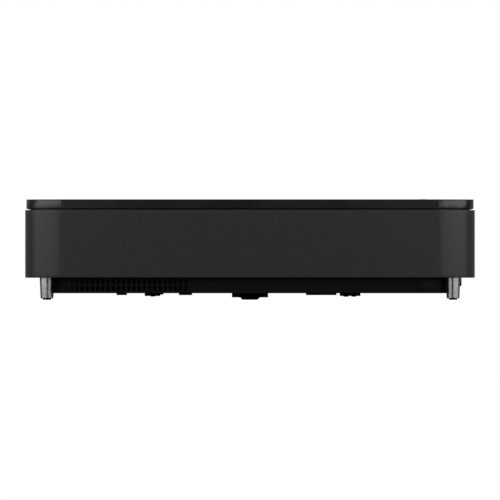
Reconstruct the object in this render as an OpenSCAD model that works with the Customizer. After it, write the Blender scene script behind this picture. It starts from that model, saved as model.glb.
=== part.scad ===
// Ultra-short-throw home projector: cloth-fronted cabinet, lid with a recessed projection window,
// undertray on three levelling feet, and the optical engine, cooling, boards and speakers inside.
// X runs along the width, Y from the cloth front (-) to the rear (+), Z up from the feet.

/* [Cabinet] */
// Width of the cabinet
body_w = 695; // [680:1:720]
// Depth of the cabinet
body_d = 341; // [336:1:360]
// Height from the feet to the top plate
body_h = 155.2; // [154:0.2:160]
// Radius of the vertical corners
corner_r = 56; // [50:1:60]
// Bottom of the cabinet walls
wall_z0 = 34.4; // [34:0.1:35.5]
// Top of the cabinet walls
wall_z1 = 138.9; // [138:0.1:139]
// Wall thickness of the mouldings
wall = 2.5; // [2.2:0.1:2.8]

/* [Lid] */
// Underside of the lid
lid_z0 = 140.6; // [140.4:0.1:141]
// How far the lid sits inside the cabinet outline
lid_inset = 1.9; // [1.5:0.1:2.5]
// Thickness of the glossy top plate
plate_t = 1.5; // [1.2:0.1:1.8]
// Width of the window recess
recess_w = 300; // [280:2:310]
// Tilt of the window glass
glass_tilt = 10; // [9:0.5:10]

/* [Undertray] */
// Width of the undertray
tray_w = 612; // [604:1:614]
// Bottom of the undertray
tray_z0 = 10.3; // [10:0.1:11]
// Slots in each row of the lower grille
slot_count = 24; // [8:1:24]
// Pitch of the grille slots
slot_pitch = 8; // [7:0.5:8]
// Width of a grille slot
slot_w = 4; // [3:0.5:4.5]

/* [Feet] */
// Distance of each front foot from the middle
foot_x = 313.6; // [312:0.2:315]
// Diameter of a front foot at its top
foot_top_d = 22.5; // [21:0.5:24]
// Diameter of a front foot at its bottom
foot_low_d = 19.9; // [18:0.5:20]
// Diameter of the levelling studs
stud_d = 8; // [7:0.5:8]

/* [Fits] */
// Radial clearance of a shaft in its hole
run_fit = 0.06; // [0.03:0.01:0.1]
// Gap between pieces that move past each other
gap = 0.3; // [0.2:0.05:0.4]

/* [Hidden] */
$fn = 64;
cut = 0.5;                                  // how far a cutting shape runs past a face

// cabinet
seam_y = -96;                               // joint between the cloth front and the side panels
rear_seam_x = 285;                          // joint between the side panels and the rear panel
seam_gap = 0.3;
cloth_t = 0.8;
lip_w = 10;                                 // inward lip along the top of the walls
lip_t = 2.2;
floor_t = 3;
floor_top = wall_z0 + floor_t;
floor_inset = 3.6;
chassis_t = 2;
deck = floor_top + chassis_t;               // what the inner pieces stand on
rear_y = body_d / 2;
side_x = body_w / 2;

// lid
plate_z = body_h - plate_t;
lid_deck_t = 2.5;
lid_deck_z = plate_z - lid_deck_t;
lid_rim_w = 20;
lid_chamfer = 1;
lid_rib = 5.5;                              // rib that closes the gap under the lid, from its edge
lid_rib_w = 3;
recess_y0 = -34;
recess_y1 = 124;
tub_t = 2.5;
glass_y = -26;                              // front edge of the sloping recess floor
glass_z = 119.5;
glass_run = 92;
glass_end_z = glass_z + glass_run * tan(glass_tilt);
ramp_end_z = 152.2;
glass_w = 262;
glass_len = 84;
glass_t = 3;
light_gap_w = 248;
button_x = 268;
button_y = -130;
button_d = 11;
button_proud = 0.4;
button_z0 = 143.5;                          // underside of the button
collar_z = 148.4;
switch_x = 13;                              // screw bosses of the button's board, each side of it
switch_board_z = 138;
sensor_x = 165;
sensor_y = 40;
sensor_r = 5;
sensor_z0 = 144;
glass_step = 4;                             // from the recess's front edge to the glass
light_gap_y = 10;
light_gap_len = 72;

// undertray
tray_d = 310.5;
tray_y = -5.25;
tray_r = 45;
tray_front = tray_y - tray_d / 2;
grille_x = -191;                            // middle of the lower grille
grille_w = 196;
grille_z0 = 12.9;
grille_h = 20.2;
grille_t = 2;
slot_h = 7.2;
slot_rows = [17.6, 28.2];
boss_xy = 100;                              // mounting bosses, from the middle each way
boss_z = 7.4;
boss_r = 10;
mount_r = 2;
mount_depth = 10;
// ribs under the tray: low x, high x, y, depth, lowest z
ribs = [[-207.2, -191.1, 30, 24, 7.4], [-163.6, -139.3, 30, 24, 6], [-139.3, -134.4, 30, 24, 8.2],
    [-154.3, -147.2, 30, 8, 5.1], [86.9, 134.3, 30, 24, 7.4],
    [139.4, 171.5, 30, 24, 6], [145.3, 152.9, 30, 8, 4.9], [157.7, 164.9, 30, 8, 4.9]];
screw_xy = [[-285, -112], [285, -112], [-285, 122], [285, 122], [-120, -138], [120, -138],
    [-60, 141], [60, 141]];
post_xy = [[-300, -106], [300, -106], [-300, 138], [300, 138]];
post_r = 5;
screw_r = 1.5;
screw_hole_r = 1.6;
screw_head_r = 3.4;
head_hole_r = 4;
head_depth = 14;                            // of the screw pockets under the tray
tower_r = 6;
lid_sink = 1.8;                             // depth of the lid screws' heads
vent_x = [-200, 0, 200];                    // air openings between the tray and the cabinet
vent_w = 60;
vent_d = 40;

// feet
foot_y = -138.5;
foot_pocket = 0.8;                          // depth of the pockets that take the tops of the feet
foot_top_z = wall_z0 + foot_pocket - gap;
pad_z = 2.2;                                // underside of a front foot's sleeve
pad_d = 13;
pad_recess = 0.7;                           // how far a pad reaches up into its foot
stud_r = stud_d / 2;
bore_r = stud_r + run_fit;
foot_boss_r = 9;
foot_boss_top = 62;
stem_r = 3;
stem_top = 8;
foot_chamfer = 0.8;
rear_foot_y = 125;
rear_block_w = 56.4;
rear_block_d = 40;
rear_block_z = 3.8;
rear_boss_top = 30;
rear_foot_top_d = 31;
rear_foot_low_d = 24;
rear_stem_r = 2;
rear_rim_z = 1;                             // underside of the rear foot
rear_pad_t = 1.5;

// filter in the right side panel
filter_w = 123.2;
filter_z0 = 44.4;
filter_z1 = 129.6;
filter_t = 14;
tab_w = 29.2;
tab_x0 = 321.7;
tab_x1 = 327.6;
tab_z0 = 21.3;
filter_depth = 57;                          // half the length of the fleece

// fans
fan_side = 92;
fan_t = 25;
fan_z = floor_top + fan_side / 2;
fan_bore_r = 44;
rotor_r = 42.5;
fan_hub_r = 15;
fan_back_t = 3;                             // hub plate and struts
blade_count = 7;
blade_t = 1.6;
blade_pitch = 52;
exhaust_x = -340;
exhaust_y = [-50, 46];
intake_x = 300;

// optics, on one axis along Y
axis_z = 78;
engine_y0 = 44;
engine_y1 = 128;
engine_w = 116;
engine_top = 112;
relay_y = 70;
relay_half = 16;                            // half the light duct's width
relay_t = 3;
duct_x0 = -235.8;
duct_x1 = -58.2;
barrel_r = 30;
barrel_bore_r = 26;
barrel_y0 = -24;
ring_y = 5;
ring_w = 12;
gear_module = 1.5;
ring_teeth = 48;
pinion_teeth = 12;
ring_pitch_r = gear_module * ring_teeth / 2;
pinion_pitch_r = gear_module * pinion_teeth / 2;
pinion_x = ring_pitch_r + pinion_pitch_r;
motor_shaft_r = 1.5;
mirror_y = -96;
mirror_t = 22;
mirror_w = 140;
mirror_sphere_r = 150;
mirror_z0 = 52;
mirror_z1 = 112;
bracket_t = 3;
wheel_x = -170;
wheel_r = 30;
wheel_z = axis_z + 26;
sink_x0 = -308;
sink_x1 = -236;
sink_y0 = -88;
sink_y1 = 30;
sink_z0 = 46;
sink_z1 = 128;
fin_pitch = 4;
fin_t = 1.2;
pipe_r = 3;
pipe_x = [-292, -272, -252];
pipe_z = [70, 102];
laser_x0 = -300;
laser_x1 = -246;
laser_y0 = 38;
laser_y1 = 102;
laser_top = 118;

// sockets, in a recess of the rear panel
port_x0 = 80;
port_x1 = 276;
port_z0 = 47;
port_z1 = 84;
port_depth = 16;
port_floor_y = rear_y - port_depth;
board_z = 52;
board_t = 1.6;
port_z = board_z + board_t;
hdmi_x = [180, 207, 234];
hdmi_w = 15;
hdmi_h = 6.2;
hdmi_len = 13;
usb_x = [134, 156];
usb_w = 13.6;
usb_h = 6.4;
usb_len = 15;
shell_t = 0.5;
optical_x = 113;
optical_side = 11;
jack_x = 94;
jack_r = 1.8;
jack_w = 10;
jack_len = 15;
socket_proud = 0.3;
jack_z = port_z + 5;
inlet_x = -150;
inlet_z = 74;
inlet_w = 31;
inlet_h = 24;
mouth_w = 24;
mouth_h = 16;
mouth_depth = 17;

// speakers: middle x, box width
speaker_x = 232;
speaker_box_w = 106;
woofer_box_w = 120;
speaker_z = 87;
speaker_y0 = -164;
speaker_depth = 56;
speaker_top = 134;
flange_t = 2;
basket_r = 32.6;
basket_bore_r = 31.2;
magnet_r = 21;
coil_gap_r = 12;
cone_r = 28;
driver_r = 35;

// outline of the cabinet, drawn in by inset
module rounded_plan(w, d, r) {
    square([w - 2 * r, d], center = true);
    square([w, d - 2 * r], center = true);
    for (sx = [-1, 1], sy = [-1, 1])
        translate([sx * (w / 2 - r), sy * (d / 2 - r)])
            circle(r);
}

module case_plan(inset) {
    rounded_plan(body_w - 2 * inset, body_d - 2 * inset, corner_r - inset);
}

// upright wall that follows the cabinet outline
module band(inset, thickness, z0, z1) {
    translate([0, 0, z0])
        linear_extrude(z1 - z0)
            difference() {
                case_plan(inset);
                case_plan(inset + thickness);
            }
}

// profile carried round the cabinet outline: u is negative inwards, then z
module rim(inset, profile) {
    r = corner_r - inset;
    for (side = [0 : 3]) {
        along = (side % 2 == 0 ? body_w : body_d) / 2 - inset - r;
        out = (side % 2 == 0 ? body_d : body_w) / 2 - inset;
        rotate([0, 0, 90 * side]) {
            translate([-along, 0, 0])
                rotate([90, 0, 90])
                    linear_extrude(2 * along)
                        translate([out, 0])
                            polygon(profile);
            translate([along, out - r, 0])
                rotate_extrude(angle = 90)
                    translate([r, 0])
                        polygon(profile);
        }
    }
}

// box given by its two corners
module block(low, high) {
    translate(low)
        cube(high - low);
}

// cylinder from a point along X, Y or Z
module rod_x(p, r, len) {
    translate(p)
        rotate([0, 90, 0])
            cylinder(r = r, h = len);
}

module rod_y(p, r, len) {
    translate(p)
        rotate([-90, 0, 0])
            cylinder(r = r, h = len);
}

module rod_z(p, r, len) {
    translate(p)
        cylinder(r = r, h = len);
}

// walls of the cabinet with their top lip, before they are cut at the seams
module cabinet_wall(inset) {
    band(inset, wall, wall_z0, wall_z1);
    band(inset, lip_w, wall_z1 - lip_t, wall_z1);
}

// ---- cabinet ----

module lower_case() {
    color("#202022")
        difference() {
            union() {
                translate([0, 0, wall_z0])
                    linear_extrude(floor_t)
                        case_plan(floor_inset);
                for (side = [-1, 1])
                    rod_z([side * foot_x, foot_y, wall_z0], foot_boss_r, foot_boss_top - wall_z0);
            }
            for (side = [-1, 1]) {
                rod_z([side * foot_x, foot_y, wall_z0 - cut], bore_r, foot_boss_top);
                rod_z([side * foot_x, foot_y, wall_z0 - cut], foot_top_d / 2 + gap, foot_pocket + cut);
            }
            block([tab_x0 - gap, -tab_w / 2 - gap, wall_z0 - cut],
                [side_x, tab_w / 2 + gap, floor_top + cut]);
            for (p = screw_xy)
                rod_z([p[0], p[1], wall_z0 - cut], screw_hole_r, floor_t + 2 * cut);
            for (x = vent_x)
                block([x - vent_w / 2, -vent_d / 2, wall_z0 - cut],
                    [x + vent_w / 2, vent_d / 2, floor_top + cut]);
        }
}

module case_posts() {
    color("silver")
        for (p = post_xy)
            difference() {
                rod_z([p[0], p[1], floor_top], post_r, lid_deck_z - floor_top);
                rod_z([p[0], p[1], lid_deck_z - head_depth], screw_hole_r, head_depth + cut);
            }
}

module base_tray() {
    color("#141416")
        difference() {
            union() {
                difference() {
                    translate([0, tray_y, tray_z0])
                        linear_extrude(wall_z0 - tray_z0)
                            rounded_plan(tray_w, tray_d, tray_r);
                    translate([0, tray_y, tray_z0 + wall])
                        linear_extrude(wall_z0)
                            rounded_plan(tray_w - 2 * wall, tray_d - 2 * wall, tray_r - wall);
                }
                for (sx = [-1, 1], sy = [-1, 1])
                    rod_z([sx * boss_xy, sy * boss_xy, boss_z], boss_r, mount_depth + wall);
                for (p = screw_xy)
                    rod_z([p[0], p[1], tray_z0], tower_r, wall_z0 - tray_z0);
                for (rib = ribs)
                    block([rib[0], rib[2], rib[4]], [rib[1], rib[2] + rib[3], tray_z0 + 1]);
                block([-rear_block_w / 2, rear_foot_y - rear_block_d / 2, rear_block_z],
                    [rear_block_w / 2, rear_foot_y + rear_block_d / 2, tray_z0 + 1]);
                rod_z([0, rear_foot_y, rear_block_z], foot_boss_r, rear_boss_top - rear_block_z);
            }
            for (sx = [-1, 1], sy = [-1, 1])
                rod_z([sx * boss_xy, sy * boss_xy, boss_z - cut], mount_r, mount_depth + cut);
            for (p = screw_xy) {
                rod_z([p[0], p[1], tray_z0 - cut], head_hole_r, head_depth + cut);
                rod_z([p[0], p[1], tray_z0], screw_hole_r, wall_z0);
            }
            rod_z([0, rear_foot_y, rear_block_z - cut], bore_r, rear_boss_top);
            rod_z([0, rear_foot_y, rear_block_z - cut], rear_foot_top_d / 2 + gap, foot_pocket + cut);
            block([grille_x - grille_w / 2, tray_front - cut, grille_z0],
                [grille_x + grille_w / 2, tray_front + wall + cut, grille_z0 + grille_h]);
        }
}

module base_grille() {
    color("#18181a")
        translate([grille_x, tray_front + grille_t, 0])
            rotate([90, 0, 0])
                linear_extrude(grille_t)
                    difference() {
                        translate([-grille_w / 2, grille_z0])
                            square([grille_w, grille_h]);
                        for (i = [0 : slot_count - 1], z = slot_rows)
                            translate([(i - (slot_count - 1) / 2) * slot_pitch, z])
                                square([slot_w, slot_h], center = true);
                    }
}

module front_frame() {
    color("#2a2a2c")
        difference() {
            cabinet_wall(cloth_t);
            block([-side_x, seam_y, 0], [side_x, rear_y, body_h]);
            for (x = [-speaker_x, 0, speaker_x])
                rod_y([x, -rear_y - cut, speaker_z], driver_r - 1, 6);
        }
}

module front_fabric() {
    color("#303032")
        difference() {
            band(0, cloth_t, wall_z0, wall_z1);
            block([-side_x - cut, seam_y, 0], [side_x + cut, rear_y + cut, body_h]);
        }
}

// everything of a side panel but its openings
module side_wall(side) {
    difference() {
        cabinet_wall(0);
        block([-side_x - cut, -rear_y - cut, 0], [side_x + cut, seam_y + seam_gap, body_h]);
        block([side > 0 ? -side_x - cut : -rear_seam_x, -rear_y - cut, 0],
            [side > 0 ? rear_seam_x : side_x + cut, rear_y + cut, body_h]);
    }
}

module left_side_panel() {
    color("#29292b")
        difference() {
            side_wall(-1);
            for (y = [-84 : 8 : 84], z = [46, 88])
                block([-side_x - cut, y - 2, z], [-side_x + wall + cut, y + 2, z + 36]);
        }
}

module right_side_panel() {
    reach = filter_w / 2 + gap;
    color("#29292b")
        difference() {
            side_wall(1);
            block([side_x - wall - cut, -reach, filter_z0 - gap],
                [side_x + cut, reach, filter_z1 + gap]);
            block([side_x - wall - cut, -tab_w / 2 - gap, wall_z0 - cut],
                [side_x + cut, tab_w / 2 + gap, filter_z0]);
        }
}

module rear_panel() {
    half = rear_seam_x - seam_gap;
    color("#29292b")
        difference() {
            union() {
                block([-half, rear_y - wall, wall_z0], [half, rear_y, wall_z1]);
                block([-half, rear_y - lip_w, wall_z1 - lip_t], [half, rear_y, wall_z1]);
            }
            block([port_x0 - wall - gap, rear_y - wall - cut, port_z0 - wall - gap],
                [port_x1 + wall + gap, rear_y + cut, port_z1 + wall + gap]);
            block([inlet_x - inlet_w / 2, rear_y - wall - cut, inlet_z - inlet_h / 2],
                [inlet_x + inlet_w / 2, rear_y + cut, inlet_z + inlet_h / 2]);
            for (x = [-262 : 8 : -190], z = [60, 96])
                block([x - 2, rear_y - wall - cut, z], [x + 2, rear_y + cut, z + 28]);
        }
}

module port_panel() {
    color("#1d1d1f")
        difference() {
            block([port_x0 - wall, port_floor_y - wall, port_z0 - wall],
                [port_x1 + wall, rear_y, port_z1 + wall]);
            block([port_x0, port_floor_y, port_z0], [port_x1, rear_y + cut, port_z1]);
            for (x = hdmi_x)
                socket_cut(x, hdmi_w, hdmi_h);
            for (x = usb_x)
                socket_cut(x, usb_w, usb_h);
            socket_cut(optical_x, optical_side, optical_side);
            socket_cut(jack_x, jack_w, jack_w);
        }
}

// hole in the recess floor round one socket
module socket_cut(x, w, h) {
    block([x - w / 2 - gap, port_floor_y - wall - cut, port_z - gap],
        [x + w / 2 + gap, port_floor_y + cut, port_z + h + gap]);
}

// ---- lid ----

module top_cover() {
    color("#1c1c1e")
        difference() {
            union() {
                rim(lid_inset, [[0, lid_z0 + lid_chamfer], [0, plate_z], [-lid_rim_w, plate_z],
                    [-lid_rim_w, lid_deck_z], [-wall, lid_deck_z], [-wall, lid_z0 + 3],
                    [-lid_rib, lid_z0 + 2], [-15, lid_z0 + 2], [-15, wall_z1 - 4],
                    [-12, wall_z1 - 4], [-12, lid_z0], [-lid_rib - lid_rib_w, lid_z0],
                    [-lid_rib - lid_rib_w, wall_z1 + gap], [-lid_rib, wall_z1 + gap],
                    [-lid_rib, lid_z0], [-lid_chamfer, lid_z0]]);
                translate([0, 0, lid_deck_z])
                    linear_extrude(lid_deck_t)
                        case_plan(lid_inset + lid_rim_w);
                for (side = [-1, 1])
                    rod_z([button_x + side * switch_x, button_y, switch_board_z + board_t], 2.5,
                        lid_deck_z - switch_board_z - 1);
            }
            block([-recess_w / 2 - tub_t - gap, recess_y0 - tub_t - gap, lid_deck_z - cut],
                [recess_w / 2 + tub_t + gap, recess_y1 + tub_t + gap, plate_z + cut]);
            rod_z([button_x, button_y, lid_deck_z - cut], button_d / 2 + gap, 5);
            for (side = [-1, 1])
                rod_z([side * sensor_x, sensor_y, lid_deck_z - cut], sensor_r + 0.1, 5);
            for (p = post_xy) {
                rod_z([p[0], p[1], lid_deck_z - cut], screw_hole_r, 5);
                rod_z([p[0], p[1], plate_z - lid_sink], screw_head_r + 0.1, 5);
            }
        }
}

module top_plate() {
    color("#0c0c0e")
        translate([0, 0, plate_z])
            difference() {
                linear_extrude(plate_t)
                    case_plan(lid_inset);
                block([-recess_w / 2, recess_y0, -cut], [recess_w / 2, recess_y1, plate_t + cut]);
                rod_z([button_x, button_y, -cut], button_d / 2 + gap, 5);
                for (side = [-1, 1])
                    rod_z([side * sensor_x, sensor_y, -cut], sensor_r + 0.1, 5);
            }
}

// prism along X, centred, from a section in Y and Z
module prism_x(w, section) {
    translate([-w / 2, 0, 0])
        rotate([90, 0, 90])
            linear_extrude(w)
                polygon(section);
}

// frame of the sloping glass: y along the slope, z out of it
module on_glass_floor() {
    translate([0, glass_y, glass_z])
        rotate([glass_tilt, 0, 0])
            children();
}

module window_tub() {
    end_y = glass_y + glass_run;
    color("#101012")
        difference() {
            prism_x(recess_w + 2 * tub_t, [[recess_y0 - tub_t, plate_z],
                [recess_y0 - tub_t, glass_z - 1], [glass_y, glass_z - 3],
                [end_y, glass_end_z - 2.6], [recess_y1 + tub_t, ramp_end_z - 2.2],
                [recess_y1 + tub_t, plate_z]]);
            prism_x(recess_w, [[recess_y0, body_h], [recess_y0, glass_z + 1.5],
                [glass_y, glass_z], [end_y, glass_end_z], [recess_y1, ramp_end_z],
                [recess_y1, body_h]]);
            on_glass_floor()
                block([-light_gap_w / 2, light_gap_y, -8],
                    [light_gap_w / 2, light_gap_y + light_gap_len, 8]);
        }
}

module window_glass() {
    color("#20262c", 0.5)
        on_glass_floor()
            block([-glass_w / 2, glass_step, 0], [glass_w / 2, glass_step + glass_len, glass_t]);
}

module presence_sensors() {
    color("#1a0c0c")
        for (side = [-1, 1])
            rod_z([side * sensor_x, sensor_y, sensor_z0], sensor_r, body_h - sensor_z0);
}

module power_button() {
    color("#2a2a2c")
        difference() {
            union() {
                rod_z([button_x, button_y, button_z0], button_d / 2, body_h + button_proud - button_z0);
                rod_z([button_x, button_y, collar_z], button_d / 2 + 2, 2.5);
            }
            rod_z([button_x, button_y, button_z0 - cut], 3.5, 6);
        }
}

module button_board() {
    color("#1c4a2c") {
        block([button_x - 16, button_y - 8, switch_board_z],
            [button_x + 16, button_y + 8, switch_board_z + board_t]);
        rod_z([button_x, button_y, switch_board_z + board_t], 3, 1.4);
        rod_z([button_x, button_y, switch_board_z + 3], 1.6, 6.2);
    }
}

// ---- feet ----

module front_foot(side) {
    color("#75777a")
        translate([side * foot_x, foot_y, 0])
            difference() {
                union() {
                    translate([0, 0, pad_z + 1])
                        cylinder(r1 = foot_low_d / 2, r2 = foot_top_d / 2, h = foot_top_z - pad_z - 1);
                    translate([0, 0, pad_z])
                        cylinder(r1 = foot_low_d / 2 - foot_chamfer, r2 = foot_low_d / 2, h = 1);
                    cylinder(r = stud_r, h = foot_boss_top - 4);
                }
                translate([0, 0, -cut])
                    cylinder(r = stem_r + run_fit, h = stem_top + 1);
                translate([0, 0, -cut])
                    cylinder(r = foot_low_d, h = pad_z + cut);
                cylinder(r = pad_d / 2 + gap, h = pad_z + pad_recess);
            }
}

module front_foot_pad(side) {
    color("#161616")
        translate([side * foot_x, foot_y, 0]) {
            cylinder(r = pad_d / 2, h = pad_z + pad_recess - gap);
            cylinder(r = stem_r, h = stem_top);
        }
}

module front_foot_left() { front_foot(-1); }
module front_foot_right() { front_foot(1); }
module front_foot_pad_left() { front_foot_pad(-1); }
module front_foot_pad_right() { front_foot_pad(1); }

module rear_foot() {
    color("#19191b")
        translate([0, rear_foot_y, 0])
            difference() {
                union() {
                    translate([0, 0, rear_rim_z])
                        cylinder(r1 = rear_foot_low_d / 2 + foot_chamfer, r2 = rear_foot_top_d / 2,
                            h = rear_block_z + foot_pocket - gap - rear_rim_z);
                    translate([0, 0, rear_rim_z])
                        cylinder(r = stud_r, h = rear_boss_top - 4);
                }
                cylinder(r = rear_foot_low_d / 2 + gap, h = rear_pad_t + gap);
                translate([0, 0, -cut])
                    cylinder(r = rear_stem_r + run_fit, h = stem_top + 1);
            }
}

module rear_foot_pad() {
    color("#161616")
        translate([0, rear_foot_y, 0]) {
            cylinder(r = rear_foot_low_d / 2, h = rear_pad_t);
            cylinder(r = rear_stem_r, h = stem_top - 0.5);
        }
}

// ---- filter ----

module filter_cover() {
    color("#29292b")
        difference() {
            union() {
                block([side_x - wall, -filter_w / 2, filter_z0], [side_x, filter_w / 2, filter_z1]);
                block([side_x - wall, -tab_w / 2, wall_z0], [side_x, tab_w / 2, filter_z0]);
                block([tab_x0, -tab_w / 2, wall_z0], [side_x, tab_w / 2, wall_z0 + wall]);
                block([tab_x0, -tab_w / 2, tab_z0], [tab_x1, tab_w / 2, wall_z0 + wall]);
            }
            for (y = [-54 : 6 : 54], z = [50, 90])
                block([side_x - wall - cut, y - 1.5, z], [side_x + cut, y + 1.5, z + 34]);
        }
}

module air_filter() {
    x1 = side_x - wall;
    x0 = x1 - filter_t;
    color("#8a8d8a")
        difference() {
            block([x0, -filter_depth, filter_z0 + 3], [x1, filter_depth, filter_z1 - 3]);
            for (y = [-51 : 6 : 51])
                block([x0 - cut, y - 2, filter_z0 + 8], [x1 - 2, y + 2, filter_z1 - 8]);
        }
}

// ---- sockets ----

module ac_inlet() {
    color("#121214")
        difference() {
            block([inlet_x - inlet_w / 2 + gap, rear_y - 22, inlet_z - inlet_h / 2 + gap],
                [inlet_x + inlet_w / 2 - gap, rear_y, inlet_z + inlet_h / 2 - gap]);
            block([inlet_x - mouth_w / 2, rear_y - mouth_depth, inlet_z - mouth_h / 2],
                [inlet_x + mouth_w / 2, rear_y + cut, inlet_z + mouth_h / 2]);
        }
}

module inlet_pins() {
    color("#b8a060")
        for (p = [[-7, -2], [0, 2], [7, -2]])
            block([inlet_x + p[0] - 1, rear_y - mouth_depth, inlet_z + p[1] - 2],
                [inlet_x + p[0] + 1, rear_y - 5.5, inlet_z + p[1] + 2]);
}

// metal shell of one socket, open at the rear
module socket(x, w, h, len, t) {
    y1 = port_floor_y + socket_proud;
    difference() {
        block([x - w / 2, y1 - len, port_z], [x + w / 2, y1, port_z + h]);
        block([x - w / 2 + t, y1 - len + 1.5, port_z + t], [x + w / 2 - t, y1 + cut, port_z + h - t]);
    }
}

module hdmi_sockets() {
    color("silver")
        for (x = hdmi_x)
            socket(x, hdmi_w, hdmi_h, hdmi_len, shell_t);
}

module usb_sockets() {
    color("silver")
        for (x = usb_x)
            socket(x, usb_w, usb_h, usb_len, shell_t);
}

// optical socket and audio jack
module audio_sockets() {
    y1 = port_floor_y + socket_proud;
    color("#141416") {
        socket(optical_x, optical_side, optical_side, hdmi_len, 1.5);
        difference() {
            block([jack_x - jack_w / 2, y1 - jack_len, port_z],
                [jack_x + jack_w / 2, y1, port_z + jack_w]);
            rod_y([jack_x, y1 - jack_len + 1, jack_z], jack_r, jack_len);
        }
    }
}

module case_screws() {
    color("#505256") {
        for (p = screw_xy) {
            rod_z([p[0], p[1], tray_z0 + 11.5], screw_head_r, 2.5);
            rod_z([p[0], p[1], tray_z0 + head_depth], screw_r, deck - tray_z0 - head_depth - gap);
        }
        for (p = post_xy) {
            rod_z([p[0], p[1], plate_z - lid_sink], screw_head_r, lid_sink - 0.1);
            rod_z([p[0], p[1], plate_z - 13], screw_r, 12);
        }
    }
}

// ---- structure, light source and engine ----

module chassis() {
    color("#a0a3a6")
        translate([0, 0, floor_top])
            linear_extrude(chassis_t)
                difference() {
                    rounded_plan(596, 296, 30);
                    for (p = screw_xy)
                        translate(p)
                            circle(4);
                    for (p = post_xy)
                        translate(p)
                            circle(post_r + 1);
                    for (x = vent_x)
                        translate([x, 0])
                            square([vent_w, vent_d], center = true);
                }
}

module laser_module() {
    color("#8c8f92") {
        block([laser_x0, laser_y0, deck], [laser_x1, laser_y1, laser_top]);
        block([laser_x1, relay_y - relay_half, axis_z - 14],
            [duct_x0 - 0.2, relay_y + relay_half, axis_z + 14]);
    }
}

module laser_heatsink() {
    color("#b0b3b6")
        difference() {
            union() {
                block([sink_x0, sink_y0, deck], [sink_x1, sink_y1, sink_z0]);
                for (y = [sink_y0 : fin_pitch : sink_y1 - fin_t])
                    block([sink_x0, y, sink_z0 - 1], [sink_x1, y + fin_t, sink_z1]);
            }
            for (x = pipe_x, z = pipe_z)
                rod_y([x, sink_y0 - cut, z], pipe_r + 0.1, sink_y1 - sink_y0 + 2 * cut);
        }
}

module heat_pipes() {
    color("#b46a3c")
        for (x = pipe_x, z = pipe_z)
            rod_y([x, sink_y0 + 2, z], pipe_r, laser_y0 - sink_y0 - 2);
}

module phosphor_wheel() {
    color("#d8c860")
        difference() {
            union() {
                rod_x([wheel_x - 0.5, relay_y, wheel_z], wheel_r, 1);
                rod_x([wheel_x, relay_y, wheel_z], 8, 3.5);
                rod_x([wheel_x, relay_y, wheel_z], motor_shaft_r, 20);
            }
            rod_x([wheel_x - 1, relay_y, wheel_z], 3, 2.5);
        }
}

module wheel_motor() {
    color("#606366")
        difference() {
            union() {
                rod_x([wheel_x + 4, relay_y, wheel_z], 11, 18);
                block([wheel_x + 8, relay_y - 14, 92], [wheel_x + 20, relay_y + 14, 94]);
            }
            rod_x([wheel_x, relay_y, wheel_z], motor_shaft_r + run_fit, 21);
        }
}

module relay_housing() {
    color("#3a3c3e")
        difference() {
            union() {
                block([duct_x0, relay_y - relay_half, axis_z - 14],
                    [duct_x1, relay_y + relay_half, axis_z + 14]);
                for (x = [-220, -90])
                    block([x, relay_y - 10, deck], [x + 12, relay_y + 10, axis_z - 13]);
            }
            block([duct_x0 - cut, relay_y - relay_half + relay_t, axis_z - 14 + relay_t],
                [duct_x1 + cut, relay_y + relay_half - relay_t, axis_z + 14 - relay_t]);
            block([wheel_x - 2.5, relay_y - relay_half - cut, axis_z - 8],
                [wheel_x + 2.5, relay_y + relay_half + cut, 100]);
        }
}

module engine_housing() {
    half = engine_w / 2;
    color("#4a4c4e")
        difference() {
            block([-half, engine_y0, deck], [half, engine_y1, engine_top]);
            block([-half + 3, engine_y0 + 3, deck + 4], [half - 3, engine_y1 - 3, engine_top + cut]);
            rod_x([-half - cut, relay_y, axis_z], 11, 4);
            rod_y([0, engine_y0 - cut, axis_z], barrel_bore_r, 4);
        }
}

module prism() {
    color("#9ab4c8", 0.6)
        block([-15, 70, axis_z - 15], [15, 100, axis_z + 15]);
    color("#4a4c4e")
        block([-12, 73, deck + 4], [12, 97, axis_z - 15]);
}

module lcd_panels() {
    color("#30506a") {
        block([-22, 72, axis_z - 14], [-19, 98, axis_z + 14]);
        block([19, 72, axis_z - 14], [22, 98, axis_z + 14]);
        block([-13, 103.5, axis_z - 14], [13, 106.5, axis_z + 14]);
    }
}

module lens_barrel() {
    color("#1e1e20")
        difference() {
            union() {
                rod_y([0, barrel_y0, axis_z], barrel_r, engine_y0 - barrel_y0);
                rod_y([0, barrel_y0, axis_z], barrel_r + 3, 10);
                rod_y([0, ring_y + ring_w + gap, axis_z], barrel_r + 3, 8);
            }
            rod_y([0, barrel_y0 - cut, axis_z], barrel_bore_r, 80);
        }
}

module lens_elements() {
    color("#a8c0cc", 0.5)
        for (y = [-20, -2, 24])
            rod_y([0, y, axis_z], barrel_bore_r - 0.05, 7);
}

// spur gear outline with straight flanks and easy backlash
module gear_plan(teeth, hole_r) {
    pitch_r = gear_module * teeth / 2;
    root_r = pitch_r - 1.25 * gear_module;
    tip_r = pitch_r + gear_module;
    difference() {
        union() {
            circle(root_r);
            for (i = [0 : teeth - 1])
                rotate(360 * i / teeth)
                    polygon([[root_r - 1, -1.4], [tip_r, -0.4], [tip_r, 0.4], [root_r - 1, 1.4]]);
        }
        circle(hole_r);
    }
}

module focus_ring() {
    color("#b0a890")
        translate([0, ring_y, axis_z])
            rotate([-90, 0, 0])
                linear_extrude(ring_w)
                    gear_plan(ring_teeth, barrel_r + run_fit);
}

module focus_pinion() {
    color("#d0c8b0")
        translate([pinion_x, ring_y, axis_z])
            rotate([-90, 0, 0]) {
                linear_extrude(ring_w)
                    rotate(180 / pinion_teeth)
                        gear_plan(pinion_teeth, 0);
                cylinder(r = motor_shaft_r, h = ring_w + 14);
            }
}

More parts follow.
